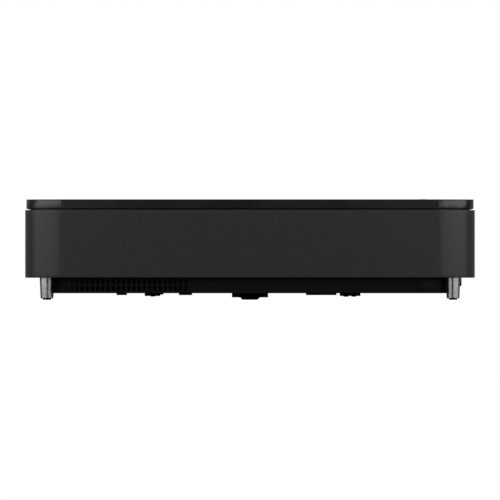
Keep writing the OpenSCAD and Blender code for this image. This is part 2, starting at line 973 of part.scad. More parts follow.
module focus_motor() {
    color("#606366")
        difference() {
            union() {
                rod_y([pinion_x, ring_y + ring_w + 1, axis_z], 11, 22);
                block([pinion_x - 8, ring_y + ring_w + 4, deck], [pinion_x + 8, ring_y + ring_w + 8, axis_z]);
            }
            rod_y([pinion_x, ring_y + ring_w, axis_z], motor_shaft_r + run_fit, 16);
        }
}

module mirror() {
    color("#c8ccd0")
        difference() {
            block([-mirror_w / 2, mirror_y, mirror_z0], [mirror_w / 2, mirror_y + mirror_t, mirror_z1]);
            translate([0, mirror_y + 6 + mirror_sphere_r, 74])
                sphere(mirror_sphere_r, $fn = 128);
        }
}

module mirror_bracket() {
    half = mirror_w / 2 + 6;
    color("#8c8f92") {
        block([-half, mirror_y - bracket_t, deck], [half, mirror_y, mirror_z1 + 2]);
        for (side = [-1, 1])
            block([side > 0 ? half - 4 : -half, mirror_y - 1, deck],
                [side > 0 ? half : -half + 4, mirror_y + 30, 90]);
        block([-half, mirror_y - 1, deck], [half, mirror_y + mirror_t + 4, deck + bracket_t]);
    }
}

// ---- fans ----

// square frame with its hub and struts, blowing along X
module fan_frame() {
    rotate([0, 90, 0])
        difference() {
            union() {
                difference() {
                    translate([-fan_side / 2, -fan_side / 2, 0])
                        cube([fan_side, fan_side, fan_t]);
                    translate([0, 0, -cut])
                        cylinder(r = fan_bore_r, h = fan_t + 2 * cut);
                }
                cylinder(r = fan_hub_r, h = fan_back_t);
                for (a = [45 : 90 : 315])
                    rotate(a)
                        translate([fan_hub_r - 2, -2, 0])
                            cube([fan_bore_r - fan_hub_r + 4, 4, fan_back_t]);
            }
            translate([0, 0, 0.8])
                cylinder(r = motor_shaft_r + run_fit, h = 6);
        }
}

module fan_rotor() {
    rotate([0, 90, 0]) {
        translate([0, 0, 4])
            cylinder(r = fan_hub_r, h = 19);
        translate([0, 0, 1])
            cylinder(r = motor_shaft_r, h = 4);
        intersection() {
            translate([0, 0, 4.5])
                cylinder(r = rotor_r, h = 18);
            for (i = [0 : blade_count - 1])
                rotate(360 * i / blade_count)
                    translate([fan_hub_r - 2, 0, 13.5])
                        rotate([blade_pitch, 0, 0])
                            translate([0, -blade_t / 2, -14])
                                cube([rotor_r, blade_t, 28]);
        }
    }
}

module exhaust_fan_frames() {
    color("#1a1a1c")
        for (y = exhaust_y)
            translate([exhaust_x, y, fan_z])
                fan_frame();
}

module exhaust_rotor_front() {
    color("#242426")
        translate([exhaust_x, exhaust_y[0], fan_z])
            fan_rotor();
}

module exhaust_rotor_rear() {
    color("#242426")
        translate([exhaust_x, exhaust_y[1], fan_z])
            fan_rotor();
}

module intake_fan_frame() {
    color("#1a1a1c")
        translate([intake_x, 0, fan_z])
            fan_frame();
}

module intake_rotor() {
    color("#242426")
        translate([intake_x, 0, fan_z])
            fan_rotor();
}

// ---- boards ----

module main_board() {
    x0 = 78;
    x1 = 282;
    y1 = port_floor_y - 3;
    color("#1c4a2c") {
        block([x0, 20, board_z], [x1, y1, port_z]);
        for (x = [x0 + 5, x1 - 5], y = [26, y1 - 6])
            rod_z([x, y, deck], 3, board_z - deck);
    }
    color("#3c3c3e") {
        block([110, 60, port_z], [150, 100, port_z + 4]);
        block([176, 40, port_z], [206, 70, port_z + 3]);
        block([228, 84, port_z], [262, 98, port_z + 3]);
    }
}

module power_board() {
    y0 = 94;
    y1 = 144;
    color("#5a4a24") {
        block([-236, y0, 46], [-62, y1, 47.6]);
        for (x = [-230, -68], y = [y0 + 6, y1 - 6])
            rod_z([x, y, deck], 3, 46 - deck);
    }
    color("#38383a") {
        block([-222, y0 + 6, 47.6], [-186, y0 + 42, 80]);
        rod_z([-110, y0 + 25, 47.6], 13, 34);
        rod_z([-82, y0 + 25, 47.6], 9, 28);
    }
}

// ---- speakers ----

module speaker_box(x, w) {
    difference() {
        block([x - w / 2, speaker_y0, deck], [x + w / 2, speaker_y0 + speaker_depth, speaker_top]);
        block([x - w / 2 + wall, speaker_y0 + wall, deck + wall],
            [x + w / 2 - wall, speaker_y0 + speaker_depth - wall, speaker_top - wall]);
        rod_y([x, speaker_y0 - cut, speaker_z], driver_r - 2, wall + 2 * cut);
    }
}

module speaker_boxes() {
    color("#232325") {
        for (side = [-1, 1])
            speaker_box(side * speaker_x, speaker_box_w);
        speaker_box(0, woofer_box_w);
    }
}

// basket and magnet of one driver, open at the front
module driver(x) {
    translate([x, speaker_y0 - flange_t, speaker_z])
        rotate([-90, 0, 0])
            difference() {
                union() {
                    cylinder(r = driver_r, h = flange_t);
                    cylinder(r = basket_r, h = 9);
                    translate([0, 0, 9])
                        cylinder(r1 = basket_r, r2 = magnet_r - 1, h = 16);
                    translate([0, 0, 24])
                        cylinder(r = magnet_r, h = 14);
                }
                translate([0, 0, -cut])
                    cylinder(r = basket_bore_r, h = 8 + cut);
                translate([0, 0, 8])
                    cylinder(r1 = basket_bore_r, r2 = 18.5, h = 15);
                translate([0, 0, 20])
                    cylinder(r = coil_gap_r, h = 16);
            }
}

module speaker_frames() {
    color("#5c5e62")
        for (x = [-speaker_x, 0, speaker_x])
            driver(x);
}

// cone with its surround, dust cap and voice coil
module cone(x) {
    translate([x, speaker_y0 - flange_t, speaker_z])
        rotate([-90, 0, 0])
            rotate_extrude()
                polygon([[0, 8.6], [9, 9.6], [cone_r, 2.4], [cone_r + 2, 2.4], [cone_r + 2, 3.2],
                    [cone_r, 3.4], [11, 11.8], [11, 28], [10, 28], [10, 11], [0, 9.8]]);
}

module speaker_cone_left() {
    color("#303030")
        cone(-speaker_x);
}

module speaker_cone_right() {
    color("#303030")
        cone(speaker_x);
}

module woofer_cone() {
    color("#303030")
        cone(0);
}

lower_case();
base_tray();
base_grille();
front_frame();
front_fabric();
left_side_panel();
right_side_panel();
rear_panel();
port_panel();
top_cover();
top_plate();
window_tub();
window_glass();
presence_sensors();
power_button();
button_board();
front_foot_left();
front_foot_pad_left();
front_foot_right();
front_foot_pad_right();
rear_foot();
rear_foot_pad();
filter_cover();
air_filter();
ac_inlet();
inlet_pins();
hdmi_sockets();
usb_sockets();
audio_sockets();
case_screws();
case_posts();
chassis();
laser_module();
laser_heatsink();
heat_pipes();
phosphor_wheel();
wheel_motor();
relay_housing();
engine_housing();
prism();
lcd_panels();
lens_barrel();
lens_elements();
focus_ring();
focus_pinion();
focus_motor();
mirror();
mirror_bracket();
exhaust_fan_frames();
exhaust_rotor_front();
exhaust_rotor_rear();
intake_fan_frame();
intake_rotor();
main_board();
power_board();
speaker_boxes();
speaker_frames();
speaker_cone_left();
speaker_cone_right();
woofer_cone();
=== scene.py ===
"""Home projector: materials, cloth cover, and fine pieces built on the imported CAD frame."""
import math

import bmesh
import bpy
from mathutils import Matrix, Vector


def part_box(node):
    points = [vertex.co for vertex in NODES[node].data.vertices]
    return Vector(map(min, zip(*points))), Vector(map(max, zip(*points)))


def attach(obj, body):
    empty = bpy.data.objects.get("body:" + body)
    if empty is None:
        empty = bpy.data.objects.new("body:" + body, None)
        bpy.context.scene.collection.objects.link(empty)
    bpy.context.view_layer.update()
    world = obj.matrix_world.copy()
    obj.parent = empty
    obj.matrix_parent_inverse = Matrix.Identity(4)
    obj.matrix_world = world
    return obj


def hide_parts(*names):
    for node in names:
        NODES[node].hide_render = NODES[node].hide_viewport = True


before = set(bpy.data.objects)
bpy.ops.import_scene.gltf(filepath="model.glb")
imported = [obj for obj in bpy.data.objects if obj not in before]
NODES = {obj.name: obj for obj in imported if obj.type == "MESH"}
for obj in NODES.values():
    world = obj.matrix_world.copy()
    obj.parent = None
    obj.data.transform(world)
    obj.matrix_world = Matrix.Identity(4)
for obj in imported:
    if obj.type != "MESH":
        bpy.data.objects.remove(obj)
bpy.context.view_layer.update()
MM = 0.001

# ---------------------------------------------------------------- camera and stage

LENS = 1500.0              # focal length and sensor width, mm
SENSOR = 36.0
VIEW_WIDTH = 0.7715        # width seen at the cloth front, m
AIM_HEIGHT = 0.077         # height in the middle of the picture, m
EYE_HEIGHT = 0.004         # low and far away, so that front, feet and rear foot line up
SOFTBOX = 2.2              # radiance of the two side softboxes


def make_camera():
    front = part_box("front_fabric")[0].y
    data = bpy.data.cameras.new("camera")
    data.lens, data.sensor_width = LENS, SENSOR
    data.clip_start, data.clip_end = 0.1, 200
    cam = bpy.data.objects.new("camera", data)
    distance = VIEW_WIDTH * LENS / SENSOR
    cam.location = (0, front - distance, EYE_HEIGHT)
    cam.rotation_euler = (math.radians(90) + (AIM_HEIGHT - EYE_HEIGHT) / distance, 0, 0)
    bpy.context.scene.collection.objects.link(cam)
    bpy.context.scene.camera = cam


# ---------------------------------------------------------------- node helpers

class Tree:
    """Short names for adding and linking shader nodes."""

    def __init__(self, tree):
        self.tree = tree

    def add(self, kind, inputs=None, **settings):
        node = self.tree.nodes.new("ShaderNode" + kind)
        for key, value in settings.items():
            setattr(node, key, value)
        for key, value in (inputs or {}).items():
            self.put(node.inputs[key], value)
        return node

    def put(self, socket, value):
        if isinstance(value, bpy.types.NodeSocket):
            self.tree.links.new(value, socket)
        else:
            socket.default_value = value

    def math(self, operation, a, b=0.0):
        node = self.add("Math", operation=operation)
        self.put(node.inputs[0], a)
        self.put(node.inputs[1], b)
        return node.outputs[0]

    def remap(self, value, low, high, to_low=0.0, to_high=1.0, smooth=True):
        node = self.add("MapRange", interpolation_type="SMOOTHSTEP" if smooth else "LINEAR")
        for key, v in zip(("Value", "From Min", "From Max", "To Min", "To Max"),
                          (value, low, high, to_low, to_high)):
            self.put(node.inputs[key], v)
        return node.outputs["Result"]

    def noise(self, coordinates, scale, detail=2.0, rough=0.5):
        node = self.add("TexNoise", {"Vector": coordinates, "Scale": scale, "Detail": detail,
                                     "Roughness": rough})
        return node.outputs["Fac"]

    def mix(self, factor, a, b):
        node = self.add("Mix", data_type="RGBA")
        self.put(node.inputs[0], factor)
        self.put(node.inputs[6], a)
        self.put(node.inputs[7], b)
        return node.outputs[2]

    def stretch(self, coordinates, scale):
        node = self.add("Mapping", {"Vector": coordinates, "Scale": scale})
        return node.outputs[0]


def rgb(value, tint=(1.0, 1.0, 1.0)):
    return tuple(value * t for t in tint) + (1.0,)


def shade(color, factor):
    return tuple(min(1.0, c * factor) for c in color[:3]) + (1.0,)


def new_material(name):
    material = bpy.data.materials.new(name)
    material.use_nodes = True
    tree = Tree(material.node_tree)
    shader = material.node_tree.nodes["Principled BSDF"]
    place = tree.add("TexCoord").outputs["Object"]
    return material, tree, shader, place


def moulded(name, color, roughness, grain=0.25, grain_size=0.6 * MM, spread=0.12, metallic=0.0,
            depth=0.04 * MM, specular=0.5, smudge=0.06):
    """Plastic, paint or cast metal: fine grain in the surface, slow drift in colour and gloss."""
    material, tree, shader, place = new_material(name)
    fine = tree.noise(place, 1 / grain_size, 3)
    slow = tree.noise(place, 14, 3)
    tone = tree.math("ADD", tree.math("MULTIPLY", fine, 0.5), tree.math("MULTIPLY", slow, 0.5))
    tree.put(shader.inputs["Base Color"],
             tree.mix(tree.remap(tone, 0.3, 0.7), shade(color, 1 - spread), shade(color, 1 + spread)))
    tree.put(shader.inputs["Roughness"],
             tree.remap(slow, 0.35, 0.65, max(0.02, roughness - smudge), roughness + smudge))
    bump = tree.add("Bump", {"Strength": grain, "Distance": depth, "Height": fine})
    tree.put(shader.inputs["Normal"], bump.outputs[0])
    shader.inputs["Metallic"].default_value = metallic
    shader.inputs["Specular IOR Level"].default_value = specular
    return material


def turned_metal(name, color, roughness):
    """Metal turned on a lathe: fine rings round Z, a little wear, dark at grazing angles."""
    material, tree, shader, place = new_material(name)
    rings = tree.noise(tree.stretch(place, (40, 40, 6000)), 1.0, 2)
    worn = tree.noise(place, 180, 4)
    tree.put(shader.inputs["Base Color"],
             tree.mix(tree.remap(worn, 0.4, 0.75), color, shade(color, 1.25)))
    tree.put(shader.inputs["Roughness"],
             tree.remap(rings, 0.3, 0.7, roughness - 0.04, roughness + 0.05))
    bump = tree.add("Bump", {"Strength": 0.12, "Distance": 0.02 * MM, "Height": rings})
    tree.put(shader.inputs["Normal"], bump.outputs[0])
    shader.inputs["Metallic"].default_value = 1.0
    shader.inputs["Specular Tint"].default_value = rgb(0.15)
    return material


def brushed_metal(name, color, roughness, along=(4000, 60, 60)):
    """Sheet metal with brush lines, stretched by along."""
    material, tree, shader, place = new_material(name)
    lines = tree.noise(tree.stretch(place, along), 1.0, 3)
    tree.put(shader.inputs["Base Color"],
             tree.mix(tree.remap(lines, 0.3, 0.7), shade(color, 0.85), shade(color, 1.1)))
    tree.put(shader.inputs["Roughness"],
             tree.remap(lines, 0.3, 0.7, roughness - 0.06, roughness + 0.08))
    bump = tree.add("Bump", {"Strength": 0.15, "Distance": 0.02 * MM, "Height": lines})
    tree.put(shader.inputs["Normal"], bump.outputs[0])
    shader.inputs["Metallic"].default_value = 1.0
    return material


def polished(name, color, roughness, coat=1.0):
    """Polished plate: faint dust in its colour and gloss, wiping marks in the gloss."""
    material, tree, shader, place = new_material(name)
    dust = tree.noise(place, 900, 4, 0.7)
    wiped = tree.noise(tree.stretch(place, (8, 60, 8)), 1.0, 4)
    tree.put(shader.inputs["Base Color"],
             tree.mix(tree.remap(dust, 0.62, 0.8), color, shade(color, 2.2)))
    marks = tree.math("ADD", tree.remap(wiped, 0.45, 0.75, 0.0, 0.05), roughness)
    tree.put(shader.inputs["Roughness"],
             tree.math("ADD", marks, tree.remap(dust, 0.6, 0.8, 0.0, 0.12)))
    shader.inputs["Coat Weight"].default_value = coat
    shader.inputs["Coat Roughness"].default_value = 0.03
    return material


def clear_glass(name, color, roughness=0.02):
    """Coated optical glass, with a little dust in its gloss."""
    material, tree, shader, place = new_material(name)
    coating = tree.noise(place, 30, 2)
    tree.put(shader.inputs["Base Color"],
             tree.mix(tree.remap(coating, 0.3, 0.7), color, shade(color, 0.85)))
    tree.put(shader.inputs["Roughness"],
             tree.remap(tree.noise(place, 400, 4), 0.5, 0.8, roughness, roughness + 0.06))
    shader.inputs["Transmission Weight"].default_value = 1.0
    shader.inputs["IOR"].default_value = 1.5
    shader.inputs["Coat Weight"].default_value = 0.5
    return material


THREAD = 0.62 * MM         # pitch of the weave
DRIFT = 90                 # slow change along each thread, per metre


def speaker_cloth(name, dark, light):
    """Plain-woven melange cloth; its UVs run in metres along and up the band."""
    material, tree, shader, _ = new_material(name)
    uv = tree.add("UVMap", uv_map="weave").outputs[0]
    split = tree.add("SeparateXYZ", {"Vector": uv})
    turn = 2 * math.pi / THREAD
    across = tree.math("SINE", tree.math("MULTIPLY", split.outputs[0], turn))
    up = tree.math("SINE", tree.math("MULTIPLY", split.outputs[1], turn))
    weave = tree.remap(tree.math("MULTIPLY", across, up), -1, 1, smooth=False)
    warp = tree.noise(tree.stretch(uv, (1 / THREAD, DRIFT, 1)), 1.0, 2)
    weft = tree.noise(tree.stretch(uv, (DRIFT, 1 / THREAD, 1)), 1.0, 2)
    over = tree.math("GREATER_THAN", weave, 0.5)
    thread = tree.math("ADD", tree.math("MULTIPLY", warp, over),
                       tree.math("MULTIPLY", weft, tree.math("SUBTRACT", 1.0, over)))
    fuzz = tree.noise(uv, 5200, 3, 0.7)
    tone = tree.math("ADD", tree.math("MULTIPLY", thread, 0.6), tree.math("MULTIPLY", fuzz, 0.4))
    tree.put(shader.inputs["Base Color"], tree.mix(tree.remap(tone, 0.36, 0.66), dark, light))
    tree.put(shader.inputs["Roughness"], tree.remap(fuzz, 0.3, 0.7, 0.72, 0.9))
    crossing = tree.math("ABSOLUTE", tree.math("SUBTRACT", weave, 0.5))
    height = tree.math("ADD", tree.math("MULTIPLY", crossing, 1.4),
                       tree.math("MULTIPLY", fuzz, 0.35))
    bump = tree.add("Bump", {"Strength": 0.55, "Distance": 0.12 * MM, "Height": height})
    tree.put(shader.inputs["Normal"], bump.outputs[0])
    shader.inputs["Specular IOR Level"].default_value = 0.3
    shader.inputs["Coat Weight"].default_value = 0.4
    shader.inputs["Coat Roughness"].default_value = 0.32
    return material


# ---------------------------------------------------------------- materials

SOLDER_MASK = rgb(0.1, (0.15, 1.0, 0.42))
MAIN_BOARD_TOP = 53.6 * MM     # top faces of the two boards, as in the CAD
POWER_BOARD_TOP = 47.6 * MM


def populated_board(name, top):
    """Green board, with dark resin for the parts that stand above its top face."""
    material = moulded(name, SOLDER_MASK, 0.35, grain=0.15, spread=0.2)
    tree = Tree(material.node_tree)
    color = material.node_tree.nodes["Principled BSDF"].inputs["Base Color"]
    place = tree.add("TexCoord").outputs["Object"]
    height = tree.add("SeparateXYZ", {"Vector": place}).outputs[2]
    parts = tree.remap(height, top + 0.05 * MM, top + 0.1 * MM)
    tree.put(color, tree.mix(parts, color.links[0].from_socket, rgb(0.02)))
    return material


CLOTH = speaker_cloth("speaker_cloth", rgb(0.0118), rgb(0.0272))
CASE = moulded("case_plastic", rgb(0.032), 0.45, spread=0.1)
LID = moulded("lid_plastic", rgb(0.007), 0.285, grain=0.1, spread=0.05, smudge=0.02)
TRAY = moulded("tray_plastic", rgb(0.0022), 0.6, grain=0.35, spread=0.15, specular=0.1)
RECESS = moulded("recess_black", rgb(0.006), 0.75, grain=0.3, specular=0.2)
SOCKET_BLACK = moulded("socket_black", rgb(0.012), 0.5)
PLATE = polished("gloss_plate", rgb(0.006), 0.28, coat=0.0)
SENSOR_LENS = polished("sensor_window", rgb(0.02, (1.0, 0.15, 0.12)), 0.06)
BUTTON = moulded("button_plastic", rgb(0.03), 0.35, grain=0.1, spread=0.06)
FOOT = turned_metal("foot_metal", rgb(0.52, (1.0, 1.0, 1.02)), 0.26)
RUBBER = moulded("pad_rubber", rgb(0.012), 0.85, grain=0.5, specular=0.2)
WINDOW = clear_glass("window_glass", rgb(0.62, (0.85, 0.95, 1.0)), 0.02)
OPTIC = clear_glass("optic_glass", rgb(0.9, (0.95, 1.0, 1.0)), 0.01)
PANEL = clear_glass("panel_glass", rgb(0.4, (0.7, 0.85, 1.0)), 0.05)
SHEET_ALU = brushed_metal("sheet_aluminium", rgb(0.68, (1.0, 1.0, 1.02)), 0.34)
CAST_ALU = moulded("cast_aluminium", rgb(0.48), 0.48, metallic=1.0, grain=0.45, spread=0.12)
STEEL = brushed_metal("plated_steel", rgb(0.6), 0.26, (300, 300, 3000))
SCREW = moulded("screw_steel", rgb(0.12), 0.32, metallic=1.0, grain=0.1)
MOTOR = brushed_metal("motor_steel", rgb(0.36), 0.32, (60, 3000, 60))
COPPER = brushed_metal("copper", rgb(0.8, (1.0, 0.5, 0.32)), 0.25, (60, 3000, 60))
PINS = brushed_metal("pin_brass", rgb(0.7, (1.0, 0.78, 0.4)), 0.22)
BOARD = moulded("circuit_board", SOLDER_MASK, 0.35, grain=0.15, spread=0.2)
MAIN_BOARD = populated_board("main_board", MAIN_BOARD_TOP)
POWER_BOARD = populated_board("power_board", POWER_BOARD_TOP)
ENGINE = moulded("engine_black", rgb(0.03), 0.45, metallic=0.3, grain=0.3)
GEAR = moulded("gear_plastic", rgb(0.5, (1.0, 0.94, 0.78)), 0.4, grain=0.1, spread=0.05)
MIRROR = polished("mirror_coat", rgb(0.85), 0.02, coat=0.0)
MIRROR.node_tree.nodes["Principled BSDF"].inputs["Metallic"].default_value = 1.0
PHOSPHOR = moulded("phosphor", rgb(0.7, (1.0, 0.88, 0.22)), 0.5, grain=0.2)
FAN = moulded("fan_black", rgb(0.012), 0.42, grain=0.2)
BOX = moulded("box_plastic", rgb(0.02), 0.5)
CONE = moulded("cone_pulp", rgb(0.03), 0.8, grain=0.6, grain_size=0.3 * MM)
TRIM = turned_metal("trim_metal", rgb(0.5), 0.24)
SOCKET_WHITE = moulded("connector_nylon", rgb(0.6, (1.0, 0.98, 0.92)), 0.45, spread=0.05)
CHIP = moulded("chip_resin", rgb(0.012), 0.55, grain=0.4)
SLEEVE = moulded("capacitor_sleeve", rgb(0.03, (0.6, 0.75, 1.0)), 0.3, grain=0.08)
FLEECE = moulded("filter_fleece", rgb(0.5, (1.0, 1.02, 0.98)), 0.9, grain=0.8,
                 grain_size=0.35 * MM, spread=0.25, depth=0.15 * MM)

NODE_MATERIALS = {
    CASE: ["front_frame", "left_side_panel", "right_side_panel", "rear_panel", "filter_cover"],
    LID: ["top_cover"],
    TRAY: ["lower_case", "base_tray", "base_grille", "port_panel", "rear_foot"],
    RECESS: ["window_tub"],
    PLATE: ["top_plate"],
    SENSOR_LENS: ["presence_sensors"],
    BUTTON: ["power_button"],
    FOOT: ["front_foot_left", "front_foot_right"],
    RUBBER: ["front_foot_pad_left", "front_foot_pad_right", "rear_foot_pad"],
    WINDOW: ["window_glass"],
    SOCKET_BLACK: ["ac_inlet", "audio_sockets"],
    PINS: ["inlet_pins"],
    STEEL: ["hdmi_sockets", "usb_sockets"],
    SCREW: ["case_screws"],
    SHEET_ALU: ["case_posts", "chassis", "laser_heatsink"],
    CAST_ALU: ["laser_module", "mirror_bracket"],
    COPPER: ["heat_pipes"],
    PHOSPHOR: ["phosphor_wheel"],
    MOTOR: ["wheel_motor", "focus_motor", "speaker_frames"],
    ENGINE: ["relay_housing", "engine_housing", "lens_barrel"],
    OPTIC: ["prism", "lens_elements"],
    PANEL: ["lcd_panels"],
    GEAR: ["focus_ring", "focus_pinion"],
    MIRROR: ["mirror"],
    FAN: ["exhaust_fan_frames", "exhaust_rotor_front", "exhaust_rotor_rear", "intake_fan_frame",
          "intake_rotor"],
    BOARD: ["button_board"],
    MAIN_BOARD: ["main_board"],
    POWER_BOARD: ["power_board"],
    BOX: ["speaker_boxes"],
    CONE: ["speaker_cone_left", "speaker_cone_right", "woofer_cone"],
    FLEECE: ["air_filter"],
    CLOTH: ["front_fabric"],
}


def dress_nodes():
    for material, names in NODE_MATERIALS.items():
        for name in names:
            slots = NODES[name].material_slots
            for slot in slots:
                slot.material = material
            if not slots:
                NODES[name].data.materials.append(material)


# screws under the tray, as in the CAD
SCREW_PLACES = [(x * MM, y * MM) for x, y in ((-285, -112), (285, -112), (-285, 122), (285, 122),
                                              (-120, -138), (120, -138), (-60, 141), (60, 141))]

# softened edges: node to radius
SOFT_EDGES = {
    "top_cover": 0.5 * MM, "top_plate": 0.35 * MM, "left_side_panel": 0.4 * MM,
    "right_side_panel": 0.4 * MM, "rear_panel": 0.4 * MM, "filter_cover": 0.4 * MM,
    "base_tray": 0.6 * MM, "window_tub": 0.5 * MM, "port_panel": 0.4 * MM,
    "power_button": 0.4 * MM, "rear_foot": 0.3 * MM, "base_grille": 0.3 * MM,
}


def soften():
    """Bevel the sharp edges, after the flat faces have been joined up across their triangles."""
    for name, radius in SOFT_EDGES.items():
        node = NODES[name]
        weld = node.modifiers.new("weld", "WELD")
        weld.merge_threshold = 0.002 * MM
        flat = node.modifiers.new("flat", "DECIMATE")
        flat.decimate_type, flat.angle_limit = "DISSOLVE", math.radians(0.4)
        bevel = node.modifiers.new("bevel", "BEVEL")
        bevel.width, bevel.segments = radius, 3
        bevel.limit_method, bevel.angle_limit = "ANGLE", math.radians(35)
        bevel.harden_normals = True


# ---------------------------------------------------------------- mesh helpers

def mesh_object(name, vertices, faces, material, body="cabinet", smooth=True):
    mesh = bpy.data.meshes.new(name)
    mesh.from_pydata(vertices, [], faces)
    mesh.validate()
    mesh.materials.append(material)
    if smooth:
        mesh.shade_smooth()
    piece = bpy.data.objects.new(name, mesh)
    bpy.context.scene.collection.objects.link(piece)
    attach(piece, body)
    return piece


CLOTH_CORNER = 56 * MM     # plan radius of the front corners, as in the CAD
CLOTH_THICK = 0.8 * MM
CLOTH_EDGE = 0.75 * MM     # rounding of the top and bottom edges
SIDE_STEPS, CORNER_STEPS, FRONT_STEPS, EDGE_STEPS, ROWS = 4, 32, 60, 5, 24


def front_path():
    """Plan of the cloth from its left end round the front to its right end: point, outward normal."""
    low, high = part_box("front_fabric")
    cx, cy = high.x - CLOTH_CORNER, low.y + CLOTH_CORNER
    left = [(low.x, high.y + (cy - high.y) * i / SIDE_STEPS, -1.0, 0.0) for i in range(SIDE_STEPS)]
    for i in range(CORNER_STEPS + 1):
        a = math.radians(180 + 90 * i / CORNER_STEPS)
        left.append((-cx + CLOTH_CORNER * math.cos(a), cy + CLOTH_CORNER * math.sin(a),
                     math.cos(a), math.sin(a)))
    front = [(-cx + 2 * cx * i / FRONT_STEPS, low.y, 0.0, -1.0) for i in range(1, FRONT_STEPS)]
    right = [(-x, y, -nx, ny) for x, y, nx, ny in reversed(left)]
    return left + front + right


def cloth_cover():
    """The cloth band: a closed sheet, rounded along its top and bottom edges."""
    low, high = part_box("front_fabric")
    radius, z0, z1 = CLOTH_EDGE, low.z, high.z
    turns = [math.radians(90 * i / EDGE_STEPS) for i in range(EDGE_STEPS + 1)]
    profile = [(-CLOTH_THICK, z0), (-radius, z0)]
    profile += [(-radius + radius * math.sin(a), z0 + radius - radius * math.cos(a)) for a in turns[1:]]
    profile += [(0.0, z0 + radius + (z1 - z0 - 2 * radius) * i / ROWS) for i in range(1, ROWS)]
    profile += [(-radius + radius * math.cos(a), z1 - radius + radius * math.sin(a)) for a in turns]
    profile += [(-CLOTH_THICK, z1)]
    path = front_path()
    vertices = [(x + nx * u, y + ny * u, z) for x, y, nx, ny in path for u, z in profile]
    n = len(profile)
    faces = []
    for i in range(len(path) - 1):
        for j in range(n):
            k = (j + 1) % n
            faces.append((i * n + j, (i + 1) * n + j, (i + 1) * n + k, i * n + k))
    faces.append(tuple(reversed(range(n))))
    faces.append(tuple(range((len(path) - 1) * n, len(path) * n)))
    piece = mesh_object("cloth_cover", vertices, faces, CLOTH)
    lengths = [0.0]
    for a, b in zip(path, path[1:]):
        lengths.append(lengths[-1] + math.dist(a[:2], b[:2]))
    layer = piece.data.uv_layers.new(name="weave")
    for loop in piece.data.loops:
        i, j = divmod(loop.vertex_index, n)
        layer.data[loop.index].uv = (lengths[i], profile[j][1])
    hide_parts("front_fabric")


# ---------------------------------------------------------------- solids gathered into one mesh

CREASE = math.radians(32)  # edges sharper than this are shaded sharp


class Shape:
    """Collects bevelled boxes and turned solids, each with its own material, into one mesh."""

    def __init__(self):
        self.bm = bmesh.new()
        self.materials = []

    def add(self, part, material):
        if material not in self.materials:
            self.materials.append(material)
        bmesh.ops.recalc_face_normals(part, faces=part.faces)
        for face in part.faces:
            face.material_index = self.materials.index(material)
            face.smooth = True
        for edge in part.edges:
            if len(edge.link_faces) == 2 and edge.calc_face_angle(0) > CREASE:
                edge.smooth = False
        mesh = bpy.data.meshes.new("part")
        part.to_mesh(mesh)
        part.free()
        self.bm.from_mesh(mesh)
        bpy.data.meshes.remove(mesh)

    def box(self, low, high, material, bevel=0.1 * MM, turn=None):
        part = bmesh.new()
        bmesh.ops.create_cube(part, size=1)
        low, high = Vector(low), Vector(high)
        for v in part.verts:
            v.co = Vector(((v.co[i] + 0.5) * (high[i] - low[i]) + low[i]) for i in range(3))
        if bevel:
            bmesh.ops.bevel(part, geom=part.edges, offset=bevel, segments=2, profile=0.5,
                            affect="EDGES", clamp_overlap=True)
        if turn:
            part.transform(turn)
        self.add(part, material)

    def turned(self, profile, centre, axis, material, steps=48, closed=False):
        """Profile of (radius, height) carried round an axis through centre."""
        part = bmesh.new()
        rings = []
        for radius, height in profile:
            ring = []
            for i in range(steps if radius > 0 else 1):
                a = 2 * math.pi * i / steps
                local = {"X": (height, radius * math.cos(a), radius * math.sin(a)),
                         "Y": (radius * math.cos(a), height, radius * math.sin(a)),
                         "Z": (radius * math.cos(a), radius * math.sin(a), height)}[axis]
                ring.append(part.verts.new(Vector(centre) + Vector(local)))
            rings.append(ring)
        pairs = list(zip(rings, rings[1:])) + ([(rings[-1], rings[0])] if closed else [])
        for a, b in pairs:
            for i in range(steps):
                corners = [a[i % len(a)], a[(i + 1) % len(a)], b[(i + 1) % len(b)], b[i % len(b)]]
                corners = list(dict.fromkeys(corners))
                if len(corners) > 2:
                    part.faces.new(corners)
        self.add(part, material)

    def ring(self, inner, outer, z0, z1, centre, axis, material, steps=48, edge=0.1 * MM):
        self.turned([(inner, z0), (inner, z1 - edge), (inner + edge, z1), (outer - edge, z1),
                     (outer, z1 - edge), (outer, z0)], centre, axis, material, steps, closed=True)

    def finish(self, name, body="cabinet"):
        mesh = bpy.data.meshes.new(name)
        self.bm.to_mesh(mesh)
        self.bm.free()
        for material in self.materials:
            mesh.materials.append(material)
        piece = bpy.data.objects.new(name, mesh)
        bpy.context.scene.collection.objects.link(piece)
        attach(piece, body)
        return piece


def spread(low, high, width, count):
    """Middles of count equal things of that width, the first at low and the last at high."""
    first, last = low + width / 2, high - width / 2
    return [first + (last - first) * i / max(1, count - 1) for i in range(count)]


# ---------------------------------------------------------------- window and lid

GLASS_TILT = math.radians(10)          # the window glass, as in the CAD
GLASS_THICK = 3 * MM
GLASS_LENGTH = 84 * MM                 # up the slope
RAMP_LOW = Vector((0, 68 * MM, 136.3 * MM))    # low end of the ramp behind the glass
RAMP_TOP = 151.7 * MM                  # height of its upper end
BUTTON_RADIUS = 5.5 * MM


def glass_turn():
    """Matrix of the window glass: X across, Y up the slope from its front edge, Z out of it."""
    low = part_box("window_glass")[0]
    front = Vector((0, low.y + GLASS_THICK * math.sin(GLASS_TILT), low.z))
    return Matrix.Translation(front) @ Matrix.Rotation(GLASS_TILT, 4, "X")


